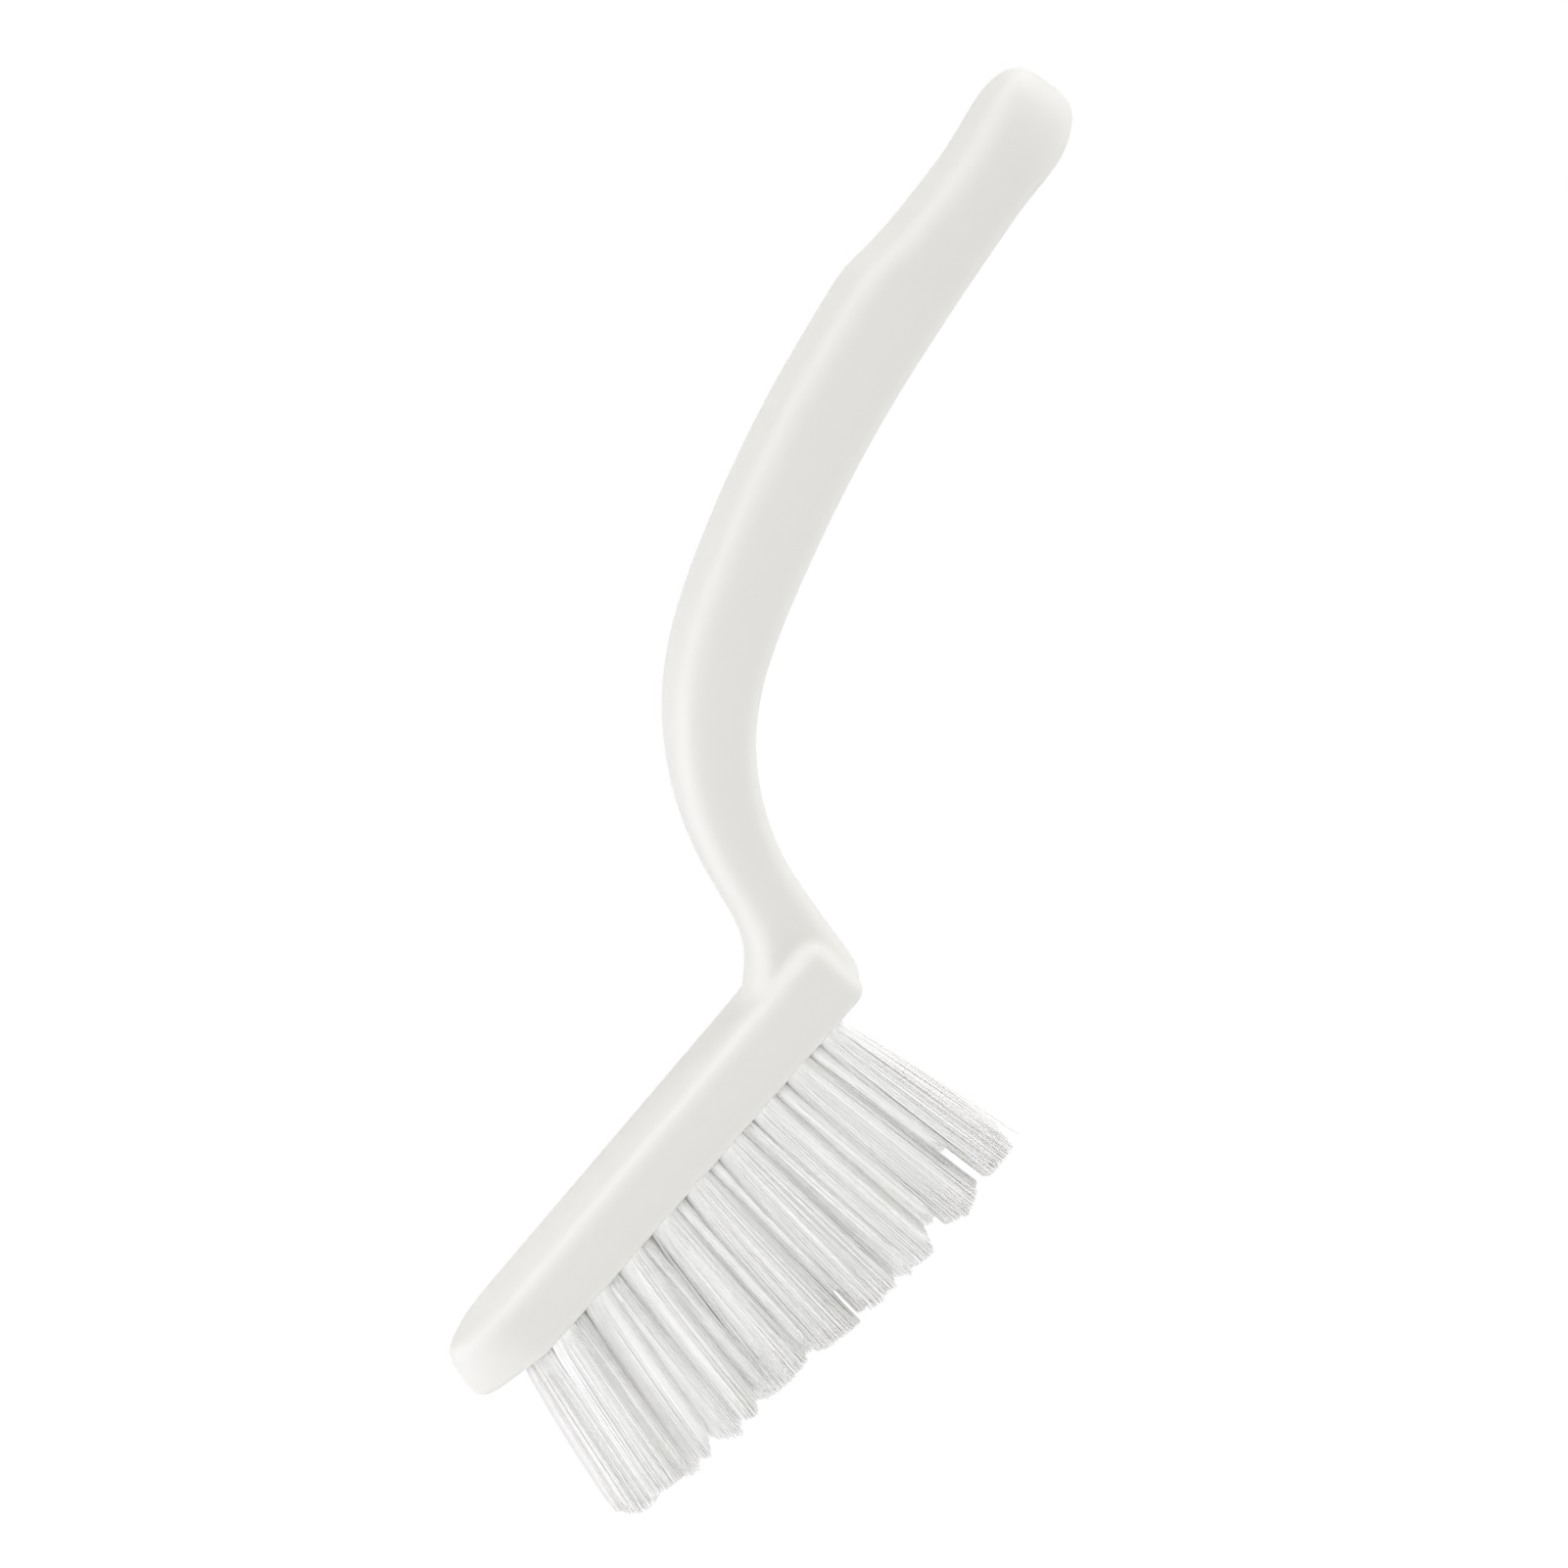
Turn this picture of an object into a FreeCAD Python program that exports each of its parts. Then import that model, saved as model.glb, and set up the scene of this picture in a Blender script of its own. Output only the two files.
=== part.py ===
import FreeCAD, Part
import math
import os

Vector = FreeCAD.Vector

# Crevice brush lying on its side, in millimetres: +X runs along the head from toe to heel,
# +Y points out of the head's back, -Y along the bristles, +Z up across the width.
# The origin is the middle of the head's lower side face.

# Head
head_width = 16.0
head_length = 93.4
head_back = 6.3
heel_depth = 6.8
toe_depth = 5.0
toe_rake = 2.8
heel_corner = 3.0
back_edge = 2.0
face_edge = 2.0
side_skim = 0.03

# Length of the head's rounded nose at the bristle face and at the back, as shares of its width,
# and the most that a rounded edge takes of the nose's tightest curve
face_nose_share = 1.375
back_nose_share = 0.625
nose_edge_share = 0.7

# Handle: one centre line of tangent arcs that leaves the head near its heel, first the neck
# and then the grip
neck_length = 21.3
neck_thick = 12.0
neck_inset = 0.3
neck_turn_degrees = 19.0
root_inset = 0.7
root_rise = 5.3
root_lean_degrees = 79.7
grip_length = 135.0
grip_thick = 17.0
grip_inset = 0.1
end_round = 4.6

# The most that the end's rounding takes of the corner radius of the last section
end_round_share = 0.9

# Each stretch of the grip's centre line: share of the grip's length, then its turn in degrees
grip_line_shares = (
    (0.205, 36.2),
    (0.207, 9.3),
    (0.374, 11.2),
    (0.214, -3.3),
)

# Sections of the neck, from inside the head outward: place as a share of the neck's length,
# reach toward the back and toward the front as shares of half its thickness, width and corner
# radius as shares of its width
neck_section_shares = (
    (-0.774, 1.70, 0.58, 0.92, 0.28),
    (-0.475, 2.13, 0.94, 1.00, 0.36),
    (-0.292, 1.96, 0.94, 1.00, 0.36),
    (-0.139, 1.45, 0.95, 1.00, 0.36),
    (0.073, 1.08, 0.98, 1.00, 0.36),
    (0.380, 1.01, 0.99, 1.00, 0.36),
)

# Sections of the grip in the same way, through its swelling, hump, waist and bulb
grip_section_shares = (
    (0.021, 0.80, 0.80, 0.78, 0.26),
    (0.139, 0.88, 0.88, 0.91, 0.25),
    (0.303, 0.95, 0.95, 1.00, 0.24),
    (0.548, 0.99, 0.99, 1.00, 0.24),
    (0.630, 1.00, 1.00, 1.00, 0.24),
    (0.675, 0.99, 1.00, 1.00, 0.24),
    (0.712, 0.87, 0.99, 1.00, 0.24),
    (0.757, 0.78, 0.98, 1.00, 0.25),
    (0.816, 0.75, 0.95, 1.00, 0.26),
    (0.867, 0.75, 0.95, 1.00, 0.27),
    (0.913, 0.83, 1.03, 1.00, 0.29),
    (0.949, 0.88, 1.02, 1.00, 0.31),
    (1.000, 0.86, 0.88, 0.97, 0.33),
)

# Tufts: a zigzag of two rows in one fan
tuft_count = 18
heel_margin = 9.4
toe_margin = 13.3
row_offset = 3.3
hole_bore = 5.0
hole_depth = 8.5
tuft_gap = 0.3
tip_bore = 7.8
trim_heel = 37.4
trim_toe = 31.6
trim_crown = 2.1
heel_tilt_degrees = 6.5
toe_tilt_degrees = -14.5
fold_bevel = 1.0

# Anchors: flat metal strips holding each folded tuft in its hole
anchor_bite = 0.3
anchor_height = 2.4
anchor_thick = 0.4
anchor_gap = 0.1
anchor_turn_degrees = 40.0
fold_height = 1.5

# Overrun of cutting bodies
overrun = 20.0

grip_width = head_width - 2 * grip_inset
neck_width = head_width - 2 * (back_edge + neck_inset)
middle = head_width / 2
heel = head_length / 2
toe = -head_length / 2


def on_centre_line(along):
    """Point and heading of the handle's centre line at a distance from the neck's root.
    It runs straight on below the root, into the head."""
    heading = math.radians(root_lean_degrees)
    x = heel - root_inset
    y = head_back + root_rise
    if along <= 0:
        return Vector(x + along * math.cos(heading), y + along * math.sin(heading), middle), heading
    stretches = [(neck_length, neck_turn_degrees)]
    for share, turn in grip_line_shares:
        stretches.append((share * grip_length, turn))
    left = along
    for run, turn in stretches:
        step = min(left, run)
        bend = -math.radians(turn) * step / run
        chord = step * math.sin(bend / 2) / (bend / 2)
        x += chord * math.cos(heading + bend / 2)
        y += chord * math.sin(heading + bend / 2)
        heading += bend
        left -= step
        if left <= 0:
            break
    return Vector(x, y, middle), heading


def rounded_section(along, back, front, width, corner):
    """Rounded rectangle across the handle, square to its centre line."""
    centre, heading = on_centre_line(along)
    out = Vector(-math.sin(heading), math.cos(heading), 0)
    up = Vector(0, 0, 1)
    half = width / 2

    def spot(across, rise):
        return centre + out * across + up * rise

    slant = corner * (1 - math.sqrt(0.5))
    edges = []
    for side_b, side_r in ((1, 1), (-1, 1), (-1, -1), (1, -1)):
        reach = back if side_b > 0 else front
        ends = [
            spot(side_b * reach, side_r * (half - corner)),
            spot(side_b * (reach - slant), side_r * (half - slant)),
            spot(side_b * (reach - corner), side_r * half),
        ]
        if side_b != side_r:
            ends.reverse()
        if edges:
            edges.append(Part.makeLine(last, ends[0]))
        else:
            first = ends[0]
        edges.append(Part.Arc(*ends).toShape())
        last = ends[2]
    edges.append(Part.makeLine(last, first))
    return Part.Wire(edges)


def make_handle():
    """Cranked handle from inside the heel to its rounded end."""
    wires = []
    for along, back, front, width, corner in neck_section_shares:
        half = neck_thick / 2
        wires.append(rounded_section(along * neck_length, back * half, front * half,
                                     width * neck_width, corner * neck_width))
    for along, back, front, width, corner in grip_section_shares:
        half = grip_thick / 2
        wires.append(rounded_section(neck_length + along * grip_length, back * half, front * half,
                                     width * grip_width, corner * grip_width))
    handle = Part.makeLoft(wires, True, False)
    heading = on_centre_line(neck_length + grip_length)[1]
    ahead = Vector(math.cos(heading), math.sin(heading), 0)
    end = max(handle.Faces, key=lambda face: face.CenterOfMass.dot(ahead))
    return handle.makeFillet(min(end_round, end_round_share * corner * grip_width), end.Edges)


def head_outline(level, tip, nose):
    """Outline of the head seen along the bristles: flat sides, flat heel, half-ellipse nose."""
    half = middle + side_skim
    centre = Vector(tip + nose, level, middle)
    ellipse = Part.Ellipse(centre - Vector(nose, 0, 0), centre + Vector(0, 0, half), centre)
    slant = heel_corner * (1 - math.sqrt(0.5))
    edges = [Part.ArcOfEllipse(ellipse, -math.pi / 2, 0).toShape(),
             Part.ArcOfEllipse(ellipse, 0, math.pi / 2).toShape()]
    last = centre + Vector(0, 0, half)
    for side in (1, -1):
        corner = [Vector(heel - heel_corner, level, middle + side * half),
                  Vector(heel - slant, level, middle + side * (half - slant)),
                  Vector(heel, level, middle + side * (half - heel_corner))]
        if side < 0:
            corner.reverse()
        edges.append(Part.makeLine(last, corner[0]))
        edges.append(Part.Arc(*corner).toShape())
        last = corner[2]
    edges.append(Part.makeLine(last, centre - Vector(0, 0, half)))
    return Part.Wire(edges)


def face_slope():
    """Angle of the bristle face to the back, in degrees: the head is deeper at its heel."""
    return math.degrees(math.atan((heel_depth - toe_depth) / head_length))


def face_level(x):
    """Height of the bristle face at a place along the head."""
    share = (x - toe) / head_length
    return -toe_depth - share * (heel_depth - toe_depth)


def make_head():
    """Solid head with rounded edges, before its holes."""
    face = head_outline(face_level(0), toe, face_nose_share * head_width)
    face.rotate(Vector(0, face_level(0), 0), Vector(0, 0, 1), -face_slope())
    back = head_outline(head_back, toe + toe_rake, back_nose_share * head_width)
    head = Part.makeLoft([face, back], True, True)
    flats = sorted(head.Faces, key=lambda side: side.CenterOfMass.y)
    tightest = middle ** 2 / (face_nose_share * head_width)
    head = head.makeFillet(min(face_edge, nose_edge_share * tightest), flats[0].Edges)
    flats = sorted(head.Faces, key=lambda side: side.CenterOfMass.y)
    return head.makeFillet(back_edge, flats[-1].Edges)


def tuft_frame(number):
    """Placement of one tuft: origin at the middle of its hole's mouth, +Z along the bristles."""
    share = number / (tuft_count - 1)
    x = heel - heel_margin - share * (head_length - heel_margin - toe_margin)
    row = row_offset if number % 2 == 0 else -row_offset
    tilt = heel_tilt_degrees + share * (toe_tilt_degrees - heel_tilt_degrees)
    turn = FreeCAD.Rotation(Vector(0, 0, 1), tilt) * FreeCAD.Rotation(Vector(1, 0, 0), 90)
    return FreeCAD.Placement(Vector(x, face_level(x), middle + row), turn)


def placed(shape, number):
    shape.Placement = tuft_frame(number).multiply(shape.Placement)
    return shape


def anchor_box(reach, thick):
    """Strip standing across a hole above the tuft's fold."""
    corner = Vector(-reach / 2, -thick / 2, fold_height - hole_depth)
    box = Part.makeBox(reach, thick, anchor_height, corner)
    box.rotate(Vector(0, 0, 0), Vector(0, 0, 1), anchor_turn_degrees)
    return box


anchor_reach = hole_bore + 2 * anchor_bite
slot_thick = anchor_thick + 2 * anchor_gap


def make_hole(number):
    """Cutting body of one hole with the grooves that its anchor bites."""
    bore = Part.makeCylinder(hole_bore / 2, hole_depth + overrun, Vector(0, 0, -hole_depth))
    return placed(bore.fuse(anchor_box(anchor_reach, slot_thick)), number)


def make_anchor(number):
    return placed(anchor_box(anchor_reach, anchor_thick), number)


def trim_body():
    """Cutting body beyond the crowned trim line, which runs closer to the face at the toe."""
    last = tuft_count - 1
    trim_middle = (trim_heel + trim_toe) / 2 + trim_crown
    ends = []
    for number, trim in ((0, trim_heel), (last / 2, trim_middle), (last, trim_toe)):
        mouth = tuft_frame(number).Base
        ends.append(Vector(mouth.x, mouth.y - trim, -overrun))
    crown = Part.Circle(*ends)
    wide = Part.makeBox(head_length + 2 * overrun, 2 * trim_heel, head_width + 2 * overrun,
                        Vector(toe - overrun, ends[0].y - trim_heel, -overrun))
    round_body = Part.makeCylinder(crown.Radius, head_width + 2 * overrun, crown.Center)
    return wide.cut(round_body)


def make_tuft(number, trim):
    """One folded tuft: shank in the hole, flared bundle outside, slot for the anchor."""
    shank_radius = hole_bore / 2 - tuft_gap
    shank = Part.makeCylinder(shank_radius, hole_depth, Vector(0, 0, -hole_depth))
    fold = min(shank.Edges, key=lambda edge: edge.CenterOfMass.z)
    shank = shank.makeChamfer(fold_bevel, [fold])
    length = trim_heel + overrun
    flare = (tip_bore / 2 - shank_radius) / trim_heel
    bundle = Part.makeCone(shank_radius, shank_radius + flare * length, length)
    tuft = placed(shank.fuse(bundle).cut(anchor_box(hole_bore, slot_thick)), number)
    return tuft.cut(trim)


def make_body():
    """One moulding: head and handle, flat on both sides, with the holes sunk in it."""
    handle_length = neck_length + grip_length
    slab = Part.makeBox(head_length + handle_length + 2 * overrun, 2 * handle_length, head_width,
                        Vector(toe - overrun, -handle_length, 0))
    body = make_head().fuse(make_handle()).common(slab)
    for number in range(tuft_count):
        body = body.cut(make_hole(number))
    return body.removeSplitter()


os.makedirs("parts", exist_ok=True)
make_body().exportStep("parts/body.step")
trim = trim_body()
for number in range(tuft_count):
    make_tuft(number, trim).exportStep("parts/tuft_%02d.step" % (number + 1))
    make_anchor(number).exportStep("parts/anchor_%02d.step" % (number + 1))
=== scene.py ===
import bpy
import math
import random
from mathutils import Matrix, Vector


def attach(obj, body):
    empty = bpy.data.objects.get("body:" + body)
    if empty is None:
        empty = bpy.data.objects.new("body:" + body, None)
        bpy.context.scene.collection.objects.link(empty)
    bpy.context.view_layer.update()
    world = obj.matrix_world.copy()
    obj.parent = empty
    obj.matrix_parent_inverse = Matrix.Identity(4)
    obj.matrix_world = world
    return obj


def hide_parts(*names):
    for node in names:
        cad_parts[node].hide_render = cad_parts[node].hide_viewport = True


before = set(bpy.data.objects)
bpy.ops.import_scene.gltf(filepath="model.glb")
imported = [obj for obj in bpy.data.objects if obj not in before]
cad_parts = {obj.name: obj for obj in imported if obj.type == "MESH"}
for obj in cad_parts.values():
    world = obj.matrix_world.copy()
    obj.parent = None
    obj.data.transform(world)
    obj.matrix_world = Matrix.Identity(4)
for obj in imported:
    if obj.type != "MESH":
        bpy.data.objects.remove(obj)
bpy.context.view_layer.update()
scene = bpy.context.scene
mm = 0.001  # the sizes of the pieces and the camera are in millimetres
random.seed(18)


# Node helper: a socket that takes part in sums, and one method for every other node
def feed(tree, socket, value):
    if isinstance(value, Sock):
        tree.links.new(value.out, socket)
    else:
        socket.default_value = value


class Sock:
    def __init__(self, tree, out):
        self.tree = tree
        self.out = out

    def math(self, operation, other, swap=False):
        node = self.tree.nodes.new("ShaderNodeMath")
        node.operation = operation
        pair = (other, self) if swap else (self, other)
        for place, value in enumerate(pair):
            feed(self.tree, node.inputs[place], value)
        return Sock(self.tree, node.outputs[0])

    def __add__(self, other):
        return self.math("ADD", other)

    def __radd__(self, other):
        return self.math("ADD", other, True)

    def __sub__(self, other):
        return self.math("SUBTRACT", other)

    def __rsub__(self, other):
        return self.math("SUBTRACT", other, True)

    def __mul__(self, other):
        return self.math("MULTIPLY", other)

    def __rmul__(self, other):
        return self.math("MULTIPLY", other, True)


class Nodes:
    def __init__(self, tree):
        self.tree = tree
        tree.nodes.clear()

    # A socket is given by its name, with _ for a space, or by its place, such as i6
    def add(self, kind, output=0, settings=None, **sockets):
        node = self.tree.nodes.new("ShaderNode" + kind)
        for name, value in (settings or {}).items():
            setattr(node, name, value)
        for name, value in sockets.items():
            numbered = name[0] == "i" and name[1:].isdigit()
            place = int(name[1:]) if numbered else name.replace("_", " ")
            feed(self.tree, node.inputs[place], value)
        return Sock(self.tree, node.outputs[output]) if len(node.outputs) else None


def mixColours(n, share, first, second, clamped=True):
    settings = {"data_type": "RGBA", "clamp_factor": clamped}
    return n.add("Mix", output=2, settings=settings, i0=share, i6=first, i7=second)


def newMaterial(name):
    material = bpy.data.materials.new(name)
    material.use_nodes = True
    return material, Nodes(material.node_tree)


def onlySelect(piece):
    bpy.ops.object.select_all(action="DESELECT")
    piece.select_set(True)
    bpy.context.view_layer.objects.active = piece


def dress(piece, material):
    piece.data.materials.clear()
    piece.data.materials.append(material)


def clamp(value):
    return min(max(value, 0.0), 1.0)


# Finishes
plasticFinish = {
    "colour": (0.762, 0.757, 0.722, 1.0),
    "cloud": (0.744, 0.738, 0.701, 1.0),  # the resin is a little uneven
    "cloudSize": 45.0,
    "cloudDetail": 4.0,
    "cloudRoughness": 0.6,
    "roughness": 0.55,
    "roughnessSpread": 0.12,
    "ior": 1.49,
    "sheen": 0.28,
    "grain": 0.12,
    "grainSize": 2400.0,
    "grainDetail": 2.0,
    "grainDepth": 0.02,
}


def plasticMaterial():
    v = plasticFinish
    material, n = newMaterial("mouldedPlastic")
    place = n.add("TexCoord", output="Object")
    clouds = n.add("TexNoise", Vector=place, Scale=v["cloudSize"], Detail=v["cloudDetail"],
                   Roughness=v["cloudRoughness"])
    grain = n.add("TexNoise", Vector=place, Scale=v["grainSize"], Detail=v["grainDetail"])
    colour = mixColours(n, clouds, v["colour"], v["cloud"])
    roughness = v["roughness"] + v["roughnessSpread"] * (clouds - 0.5)
    bump = n.add("Bump", Strength=v["grain"], Distance=v["grainDepth"] * mm, Height=grain)
    shader = n.add("BsdfPrincipled", Base_Color=colour, Roughness=roughness, Normal=bump,
                   IOR=v["ior"], Specular_IOR_Level=v["sheen"])
    n.add("OutputMaterial", Surface=shader)
    return material


filamentFinish = {
    # The filament colour runs from a lit to a shaded end: painted shade sets the place, and a
    # random spread varies it from strand to strand
    "clear": (0.99, 0.986, 0.978, 1.0),  # lit end of the painted shade, at 0
    "shadedDull": (0.75, 0.745, 0.722, 1.0),  # shaded end of the painted shade, at 1
    "strandSpread": 0.2,  # how far the share between the two colours differs at random from one filament to the next
    "roughness": 0.38,
    "roughnessSpread": 0.14,
    "ior": 1.53,
}


def filamentMaterial():
    v = filamentFinish
    material, n = newMaterial("whiteFilament")
    strand = n.add("Attribute", output="Fac", settings={"attribute_name": "strand"})
    # painted shade, carried by each tuft's vertices, darkens or lightens the filaments
    paintedShade = n.add("Attribute", output="Fac", settings={"attribute_name": "paintedShade"})
    share = paintedShade + v["strandSpread"] * (strand - 0.5)
    colour = mixColours(n, share, v["clear"], v["shadedDull"], clamped=False)
    roughness = v["roughness"] + v["roughnessSpread"] * strand
    shader = n.add("BsdfPrincipled", Base_Color=colour, Roughness=roughness, IOR=v["ior"])
    n.add("OutputMaterial", Surface=shader)
    return material


anchorFinish = {
    "colour": (0.62, 0.62, 0.64, 1.0),
    "streakSize": 900.0,
    "streakDetail": 3.0,
    "roughness": 0.28,
    "roughnessSpread": 0.2,
}


def anchorMaterial():
    v = anchorFinish
    material, n = newMaterial("anchorStrip")
    place = n.add("TexCoord", output="Object")
    streaks = n.add("TexNoise", Vector=place, Scale=v["streakSize"], Detail=v["streakDetail"])
    roughness = v["roughness"] + v["roughnessSpread"] * streaks
    shader = n.add("BsdfPrincipled", Base_Color=v["colour"], Roughness=roughness, Metallic=1.0)
    n.add("OutputMaterial", Surface=shader)
    return material


# Moulded body: the CAD body with its creases and edges softened as the mould leaves them
bodySizes = {
    "weld": 0.001,
    "voxel": 0.5,
    "softFactor": 0.5,
    "softening": 72,  # rounds of smoothing for the whole body, then for its two ends
    "endSoftening": 60,
    "handleEnd": (162.0, 178.4),  # where the two ends round over, from start to tip
    "toeEnd": (-34.0, -46.2),
    "endDome": 0.9,  # how round they are: at one the end would close to an edge
    "toeDome": 0.65,
    "endGain": 2.0,  # the ends are smoothed in full from half way along them
    "toeStretch": 0.8,  # softening draws the toe in by about this
    "toeRise": 0.6,  # the share of the stretch that goes toward the back
    "middle": 8.0,
    "holeZone": ((-36.5, 40.5), -1.0, (1.5, 14.5)),  # along the head, below this, across it
    "holeSoft": 0.15,
    "heelZone": (37.0, 14.0),  # beyond this along the head, and below this
    "heelSoft": 0.3,
}


def softness(x, y, z):
    v = bodySizes
    (left, right), top, (low, high) = v["holeZone"]
    if y < top and left < x < right and low < z < high:
        return v["holeSoft"]
    heelStart, heelTop = v["heelZone"]
    return v["heelSoft"] if x > heelStart and y < heelTop else 1.0


def makeBody():
    v = bodySizes
    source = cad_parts["body"]
    piece = bpy.data.objects.new("moulding", source.data.copy())
    scene.collection.objects.link(piece)
    onlySelect(piece)
    bpy.ops.mesh.customdata_custom_splitnormals_clear()
    bpy.ops.object.mode_set(mode="EDIT")
    bpy.ops.mesh.select_all(action="SELECT")
    bpy.ops.mesh.remove_doubles(threshold=v["weld"] * mm)
    bpy.ops.object.mode_set(mode="OBJECT")
    remesh = piece.modifiers.new("even", "REMESH")
    remesh.mode = "VOXEL"
    remesh.voxel_size = v["voxel"] * mm
    bpy.ops.object.modifier_apply(modifier="even")
    ends = piece.vertex_groups.new(name="ends")
    whole = piece.vertex_groups.new(name="whole")
    domes = (v["handleEnd"], v["endDome"]), (v["toeEnd"], v["toeDome"])
    for vertex in piece.data.vertices:
        x, y, z = vertex.co / mm
        reach = 0.0
        for (start, end), dome in domes:
            share = clamp((x - start) / (end - start))
            if share:
                height = math.sqrt(1 - dome * share ** 2)
                vertex.co.z = (v["middle"] + (z - v["middle"]) * height) * mm
            reach = max(reach, share)
        if x < v["toeEnd"][0]:
            vertex.co.x -= v["toeStretch"] * reach * mm
            vertex.co.y += v["toeRise"] * v["toeStretch"] * reach * mm
        ends.add([vertex.index], min(1.0, v["endGain"] * reach), "REPLACE")
        whole.add([vertex.index], softness(x, y, z), "REPLACE")
    for group, rounds in ((whole, v["softening"]), (ends, v["endSoftening"])):
        soften = piece.modifiers.new("soften", "SMOOTH")
        soften.factor = v["softFactor"]
        soften.iterations = rounds
        soften.vertex_group = group.name
        bpy.ops.object.modifier_apply(modifier="soften")
    bpy.ops.object.shade_smooth()
    dress(piece, plasticMaterial())
    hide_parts("body")
    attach(piece, "root")
    return piece


body = makeBody()
steel = anchorMaterial()
for name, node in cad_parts.items():
    if name.startswith("anchor"):
        dress(node, steel)
print("body faces", len(body.data.polygons))

# Tufts: bundles of fine filaments, each where its CAD tuft is
tuftSizes = {
    "count": 18,
    "headLength": 93.4,
    "headWidth": 16.0,
    "heelMargin": 9.4,
    "toeMargin": 13.3,
    "rowOffset": 3.3,
    "heelDepth": 6.8,
    "toeDepth": 5.0,
    "heelTilt": 6.5,
    "toeTilt": -14.5,
    "trimHeel": 37.4,
    "trimToe": 31.6,
    "trimCrown": 2.1,
}
# Where two values stand in brackets by row, they are for the near and the far row
filamentSizes = {
    "skin": 110,  # filaments that show along the tuft, and those that only show at its end
    "inner": 420,
    "radius": 0.1,
    "innerRadius": 0.13,
    "rounding": 0,
    "skinRing": (0.99, 1.04),  # places in the tuft, as a share of its radius
    "innerRing": 0.9,
    "locks": 13,  # thick strands that fill the tuft, and to which the filaments cling
    "lockRounding": 2,
    "lockRing": 0.56,
    "lockTurn": 2.39996,  # the golden angle spreads them evenly
    "lockShare": 0.5,
    "lockShort": 1.3,  # the locks stop short of the cut ends
    "lockStations": (  # place along the lock, and thickness there
        (0.0, 1.0), (0.04, 1.0), (0.14, 1.0), (0.35, 1.0),
        (0.6, 1.0), (0.82, 0.95), (0.95, 0.9), (1.0, 0.8),
    ),
    "lockLift": 0.3,
    "liftRange": (-0.6, 0.8),
    "pull": 0.25,  # how far the tips are drawn toward their lock
    "pullRange": (0.3, 1.0),
    "pullSpread": 1.25,
    "sink": 5.0,  # how far the filaments are drawn inside the hole
    "rootRadius": 2.45,
    "heelTrim": {1: 0.8},  # the first tuft sits a little in from the heel side of its hole
    "tipLeft": -4.6,  # reach of the tips along the head, toward the toe and toward the heel
    "tipRight": 3.1,
    "tipHalf": (3.2, 4.8),  # and across it, by row
    "flare": 0.4,
    "lean": (-0.6, 2.6),  # by row: they lean together toward their tips
    "bulge": (0.6, 0.3),  # by row: below one, the tuft widens soon after its root
    "plainShort": 0.8,  # a tuft with no cut of its own ends this much below the trim
    "tipSpread": 0.15,
    "tipExtra": 0.3,
    "waver": 0.14,
    "strayShare": 0.025,
    "strayReach": 1.7,
    "skinStations": (0.0, 0.04, 0.18, 0.42, 0.7, 1.0),
    "innerStations": (0.82, 1.0),
    "paintedShade": (0.58, 0.03),  # by row: painted shade, the near row darker and the far row, which lies deep in shade, lighter
    "toePaintedShade": {16: 0.0, 17: 0.5, 18: 0.25},  # painted shade of their own for three toe tufts, set to the light each one gets
    "rootShadeShare": 0.5,  # the share of the painted shade that is there at the root; it grows to the full amount at the tip
    "flankPaintedShade": {18: 0.95},  # painted shade on the toe side of the last tuft, which stands in full light
    "flankStart": 0.35,  # where that side begins, as a share of the way out from the axis
    "sharpAngle": 60.0,
}
# Ends of the tufts as they are cut and worn: place along the head and length, for a few spots
# from toe side to heel side
tipCuts = {
    1: ((-5.0, 37.9), (1.6, 38.4), (3.0, 34.5)),
    2: ((-2.6, 29.0), (1.6, 29.5)),
    3: ((-5.2, 38.4), (-1.7, 39.6), (3.1, 38.2)),
    4: ((-4.0, 35.0), (-1.7, 36.6), (1.5, 35.0)),
    5: ((-4.1, 39.2), (-0.3, 39.4), (1.6, 36.0)),
    6: ((-3.5, 37.3), (-0.5, 40.0), (2.0, 37.0)),
    7: ((-5.9, 37.5), (1.1, 38.6), (2.5, 36.6)),
    8: ((-3.0, 31.0), (1.0, 31.5)),
    9: ((-5.6, 36.3), (2.7, 38.3)),
    11: ((-5.8, 36.2), (1.8, 35.4), (2.8, 33.6)),
    12: ((-4.0, 35.0), (-1.9, 36.0), (2.0, 34.5)),
    13: ((-3.9, 34.1), (-0.6, 35.3), (1.4, 31.9)),
    14: ((-3.5, 34.5), (0.2, 36.6), (2.5, 34.0)),
    15: ((-4.3, 32.9), (-1.3, 34.2), (1.2, 29.8)),
    16: ((-3.5, 33.5), (0.8, 35.3), (2.6, 33.0)),
    17: ((-3.5, 32.3), (2.5, 32.9)),
    18: ((-4.1, 31.8), (-1.1, 33.4), (3.4, 32.6)),
}
strayTips = {1: (3.9, 38.9)}  # one filament at the heel stands off by itself
filament = filamentMaterial()


# Odd tufts are in the near row, 0, and even ones in the far row, 1
def rowOf(number):
    return (number + 1) % 2


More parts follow.
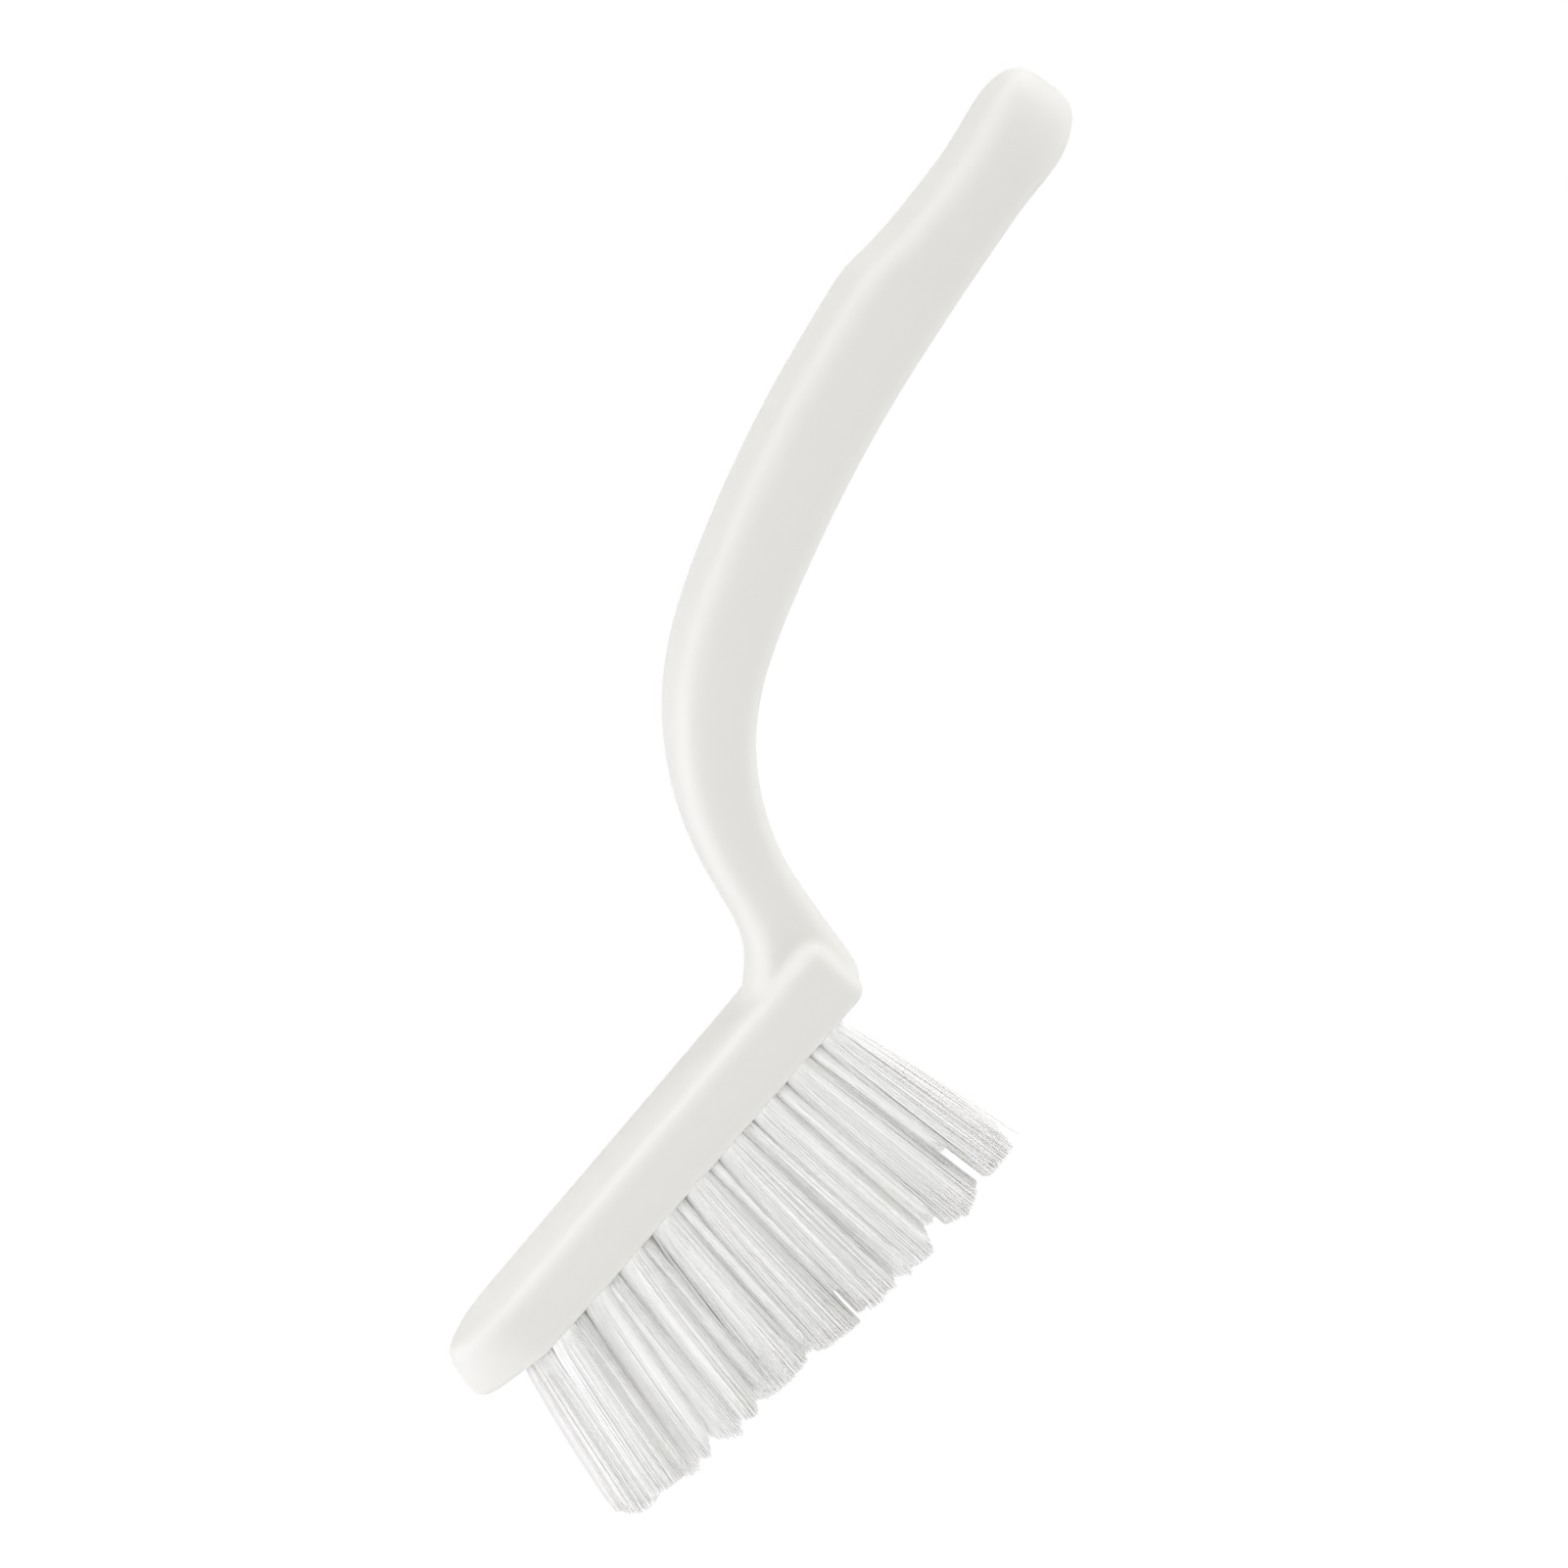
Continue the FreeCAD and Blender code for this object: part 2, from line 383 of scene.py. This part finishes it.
def tuftAxes(number):
    v = tuftSizes
    share = (number - 1) / (v["count"] - 1)
    heel = v["headLength"] / 2
    x = heel - v["heelMargin"] - share * (v["headLength"] - v["heelMargin"] - v["toeMargin"])
    y = -v["toeDepth"] - (x + heel) / v["headLength"] * (v["heelDepth"] - v["toeDepth"])
    z = v["headWidth"] / 2 + (-v["rowOffset"] if rowOf(number) else v["rowOffset"])
    tilt = math.radians(v["heelTilt"] + share * (v["toeTilt"] - v["heelTilt"]))
    out = Vector((math.sin(tilt), -math.cos(tilt), 0))
    side = Vector((math.cos(tilt), math.sin(tilt), 0))
    trim = v["trimHeel"] + share * (v["trimToe"] - v["trimHeel"])
    trim += v["trimCrown"] * 4 * share * (1 - share)
    return Vector((x, y, z)), out, side, trim


def cutLength(cut, place):
    for (fromPlace, fromLength), (toPlace, toLength) in zip(cut, cut[1:]):
        if place <= toPlace:
            break
    share = clamp((place - fromPlace) / (toPlace - fromPlace))
    return fromLength + share * (toLength - fromLength)


def discSpot(ring, turn):
    return ring * math.cos(turn), ring * math.sin(turn)


def tuftRuns(number):
    v = filamentSizes
    mouth, out, side, trim = tuftAxes(number)
    up = Vector((0, 0, 1))
    plainEnd = trim - v["plainShort"]
    cut = tipCuts.get(number, ((v["tipLeft"], plainEnd), (v["tipRight"], plainEnd)))
    left, right = cut[0][0] - v["flare"], cut[-1][0] + v["flare"]
    row = rowOf(number)
    lean, tipHalf, bulge = v["lean"][row], v["tipHalf"][row], v["bulge"][row]
    fullTurn = 2 * math.pi
    locks, lockRuns, filamentRuns = [], [], []

    def tipPlace(spot):
        return (left + right) / 2 + spot[0] * (right - left) / 2, spot[1] * tipHalf + lean

    def sunkPoint(spot):
        return mouth - out * v["sink"] + (side * spot[0] + up * spot[1]) * v["rootRadius"]

    def pointAt(spot, end, length, s, bow):
        trimmed = v["heelTrim"].get(number, 1.0) if spot[0] > 0 else 1.0
        root = side * spot[0] * trimmed * v["rootRadius"] + up * spot[1] * v["rootRadius"]
        tip = side * end[0] + up * end[1]
        bend = bow * math.sin(math.pi * s)
        return mouth + out * length * s + root.lerp(tip, s ** bulge) + bend

    start = random.uniform(0, fullTurn)
    for k in range(v["locks"]):
        ring = v["lockRing"] * math.sqrt((k + 0.5) / v["locks"])
        spot = discSpot(ring, start + k * v["lockTurn"])
        lift = random.uniform(*v["liftRange"]) * v["lockLift"]
        locks.append((spot, lift))
        end = tipPlace(spot)
        length = cutLength(cut, end[0]) + lift - v["lockShort"]
        points = []
        for s, share in v["lockStations"]:
            half = v["rootRadius"] + s ** bulge * (tipHalf - v["rootRadius"])
            thickness = share * v["lockShare"] * half
            points.append((pointAt(spot, end, length, s, Vector()), thickness))
        points.insert(0, (sunkPoint(spot), points[0][1]))
        lockRuns.append(points)
    for k in range(v["skin"] + v["inner"]):
        skin = k < v["skin"]
        if skin:
            ring = random.uniform(*v["skinRing"])
            spot = discSpot(ring, (k + random.random()) * fullTurn / v["skin"])
        else:
            ring = v["innerRing"] * math.sqrt(random.random())
            spot = discSpot(ring, random.uniform(0, fullTurn))
        centre, lift = min(locks, key=lambda lock: math.dist(lock[0], spot))
        pull = v["pull"] * random.uniform(*v["pullRange"])
        end = tipPlace([a + pull * (v["pullSpread"] * b - a) for a, b in zip(spot, centre)])
        if skin and random.random() < v["strayShare"]:
            end = end[0] + random.uniform(-1, 1) * v["strayReach"], end[1]
        length = cutLength(cut, end[0]) + lift + v["tipExtra"]
        length += random.uniform(-v["tipSpread"], v["tipSpread"])
        bow = side * random.gauss(0, v["waver"]) + up * random.gauss(0, v["waver"])
        if number in strayTips and k == 0:
            end, length, bow = (strayTips[number][0], 0.0), strayTips[number][1], Vector()
        stations = v["skinStations"] if skin else v["innerStations"]
        radius = v["radius"] if skin else v["innerRadius"]
        points = [(sunkPoint(spot), radius)] if skin else []
        points += [(pointAt(spot, end, length, s, bow), radius) for s in stations]
        filamentRuns.append(points)
    return lockRuns, filamentRuns


def drawRuns(name, runs, rounding):
    data = bpy.data.curves.new(name, "CURVE")
    data.dimensions = "3D"
    data.bevel_depth = mm
    data.bevel_resolution = rounding
    data.use_fill_caps = True
    for points in runs:
        spline = data.splines.new("POLY")
        spline.points.add(len(points) - 1)
        for point, (spot, radius) in zip(spline.points, points):
            point.co = (*(spot * mm), 1.0)
            point.radius = radius
    piece = bpy.data.objects.new(name, data)
    scene.collection.objects.link(piece)
    onlySelect(piece)
    bpy.ops.object.convert(target="MESH")
    piece = bpy.context.object
    around = 4 + 2 * rounding  # corners that Blender gives each ring at this rounding
    index = 0
    strand = piece.data.attributes.new("strand", "FLOAT", "POINT")
    for points in runs:
        tint = random.random()
        for k in range(around * len(points)):
            strand.data[index].value = tint
            index += 1
    return piece


# Painted shade: each vertex gets a share by row, by toe tuft and along the tuft, plus a darker
# toe flank on the last tuft
def paintTuftShade(piece, number):
    v = filamentSizes
    mouth, out, side, trim = tuftAxes(number)
    strength = v["toePaintedShade"].get(number, v["paintedShade"][rowOf(number)])
    flankPaintedShade = v["flankPaintedShade"].get(number, 0.0)
    paintedShade = piece.data.attributes.new("paintedShade", "FLOAT", "POINT")
    for index, vertex in enumerate(piece.data.vertices):
        spot = vertex.co / mm - mouth
        along = clamp(spot.dot(out) / trim)
        edge = v["rootRadius"] + along * (-v["tipLeft"] - v["rootRadius"])
        flank = clamp((-spot.dot(side) / edge - v["flankStart"]) / (1 - v["flankStart"]))
        share = v["rootShadeShare"] + (1 - v["rootShadeShare"]) * along
        paintedShade.data[index].value = strength * share + flank * flankPaintedShade


def makeTuft(number):
    v = filamentSizes
    lockRuns, filamentRuns = tuftRuns(number)
    locks = drawRuns("locks_%02d" % number, lockRuns, v["lockRounding"])
    piece = drawRuns("filaments_%02d" % number, filamentRuns, v["rounding"])
    onlySelect(piece)
    locks.select_set(True)
    bpy.ops.object.join()
    paintTuftShade(piece, number)
    bpy.ops.object.shade_smooth_by_angle(angle=math.radians(v["sharpAngle"]))
    dress(piece, filament)
    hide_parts("tuft_%02d" % number)
    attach(piece, "root")
    return piece


tufts = [makeTuft(number) for number in range(1, tuftSizes["count"] + 1)]
print("tufts", len(tufts), "faces in each", len(tufts[0].data.polygons))

# Floor and light, in metres
studio = {
    "floorSize": 3.0,
    "floorColour": (0.86, 0.86, 0.86, 1.0),
    "floorGlow": 0.93,  # how far the floor is lifted to white where it is seen
    "floorWhite": 1.02,
    "white": (1.0, 1.0, 1.0, 1.0),
    "tent": (1.0, 0.988, 1.015, 1.0),
    "tentLevel": 2.75,  # the tent is a bright band round the horizon
    "lookAt": (0.06, 0.02, 0.0),
    "lamps": (  # name, place, size, power and tint
        ("overBack", (-0.063, 0.447, 1.22), 0.45, 5.2),
        ("overTips", (-0.065, -0.15, 1.28), 0.45, 5.6),
        ("toeSide", (-0.75, 0.2, 0.15), 0.6, 2.8, (1.0, 0.985, 1.06)),
        ("endSide", (1.25, 0.3, 0.2), 0.4, 5.8),
        ("backSide", (0.0, 1.2, 0.2), 0.6, 1.5),
        ("tipSide", (0.05, -1.2, 0.4), 0.6, 3.0),
    ),
}


def makeFloor():
    v = studio
    bpy.ops.mesh.primitive_plane_add(size=v["floorSize"], location=(0, 0, 0))
    floor = bpy.context.object
    floor.name = "floor"
    material, n = newMaterial("paleFloor")
    direct = n.add("LightPath", output="Is Camera Ray")
    glossy = n.add("LightPath", output="Is Glossy Ray")
    through = n.add("LightPath", output="Is Transmission Ray")
    seen = direct.math("MAXIMUM", glossy).math("MAXIMUM", through)
    matt = n.add("BsdfDiffuse", Color=v["floorColour"])
    glow = n.add("Emission", Color=v["white"], Strength=v["floorWhite"])
    surface = n.add("MixShader", i0=seen * v["floorGlow"], i1=matt, i2=glow)
    n.add("OutputMaterial", Surface=surface)
    dress(floor, material)


def makeWorld():
    v = studio
    world = bpy.data.worlds.new("softTent")
    scene.world = world
    world.use_nodes = True
    n = Nodes(world.node_tree)
    place = n.add("TexCoord", output="Generated")
    height = n.add("SeparateXYZ", output="Z", Vector=place)
    low = 1.0 - height.math("ABSOLUTE", 0.0)
    low = low * low
    level = v["tentLevel"] * (low * low)
    light = n.add("Background", Color=v["tent"], Strength=level)
    backdrop = n.add("Background", Color=v["white"], Strength=1.0)
    direct = n.add("LightPath", output="Is Camera Ray")
    n.add("OutputWorld", Surface=n.add("MixShader", i0=direct, i1=light, i2=backdrop))


def addLamp(name, place, size, power, tint=(1.0, 1.0, 1.0)):
    lamp = bpy.data.lights.new(name, "AREA")
    lamp.size = size
    lamp.energy = power
    lamp.color = tint
    holder = bpy.data.objects.new(name, lamp)
    scene.collection.objects.link(holder)
    holder.location = place
    aim = Vector(studio["lookAt"]) - Vector(place)
    holder.rotation_euler = aim.to_track_quat("-Z", "Y").to_euler()


makeFloor()
makeWorld()
for lamp in studio["lamps"]:
    addLamp(*lamp)
print("floor and light set")

# Camera: long lens, looking down on the brush from a little behind its back
view = {
    "tilt": 20.0,
    "toward": 106.0,
    "roll": 48.589,
    "pixelsPerMm": 6.177,
    "frame": 1601,
    "anchor": (660.71, 1195.54),  # where the middle of the head comes in the picture
    "anchorHeight": 8.0,
    "distance": 1500.0,
    "sensor": 36.0,
    "nearClip": 50.0,
}


def makeCamera():
    v = view
    tilt, toward, roll = (math.radians(v[k]) for k in ("tilt", "toward", "roll"))
    outward = Vector((math.cos(toward), math.sin(toward), 0))
    upright = Vector((0, 0, 1))
    back = outward * math.sin(tilt) + upright * math.cos(tilt)
    along = outward * math.cos(tilt) - upright * math.sin(tilt)
    across = Vector((-math.sin(toward), math.cos(toward), 0))
    turn = roll + toward
    right = along * math.cos(turn) - across * math.sin(turn)
    upward = along * math.sin(turn) + across * math.cos(turn)
    middle = v["frame"] / 2
    target = Vector((0, 0, v["anchorHeight"]))
    target += right * (middle - v["anchor"][0]) / v["pixelsPerMm"]
    target += upward * (v["anchor"][1] - middle) / v["pixelsPerMm"]
    place = (target + back * v["distance"]) * mm
    data = bpy.data.cameras.new("camera")
    data.sensor_width = v["sensor"]
    data.lens = v["sensor"] * v["distance"] * v["pixelsPerMm"] / v["frame"]
    data.clip_start = v["nearClip"] * mm
    camera = bpy.data.objects.new("camera", data)
    scene.collection.objects.link(camera)
    rows = [(right[i], upward[i], back[i], place[i]) for i in range(3)]
    camera.matrix_world = Matrix((*rows, (0, 0, 0, 1)))
    scene.camera = camera


makeCamera()
scene.view_settings.view_transform = "Standard"
print("camera set")
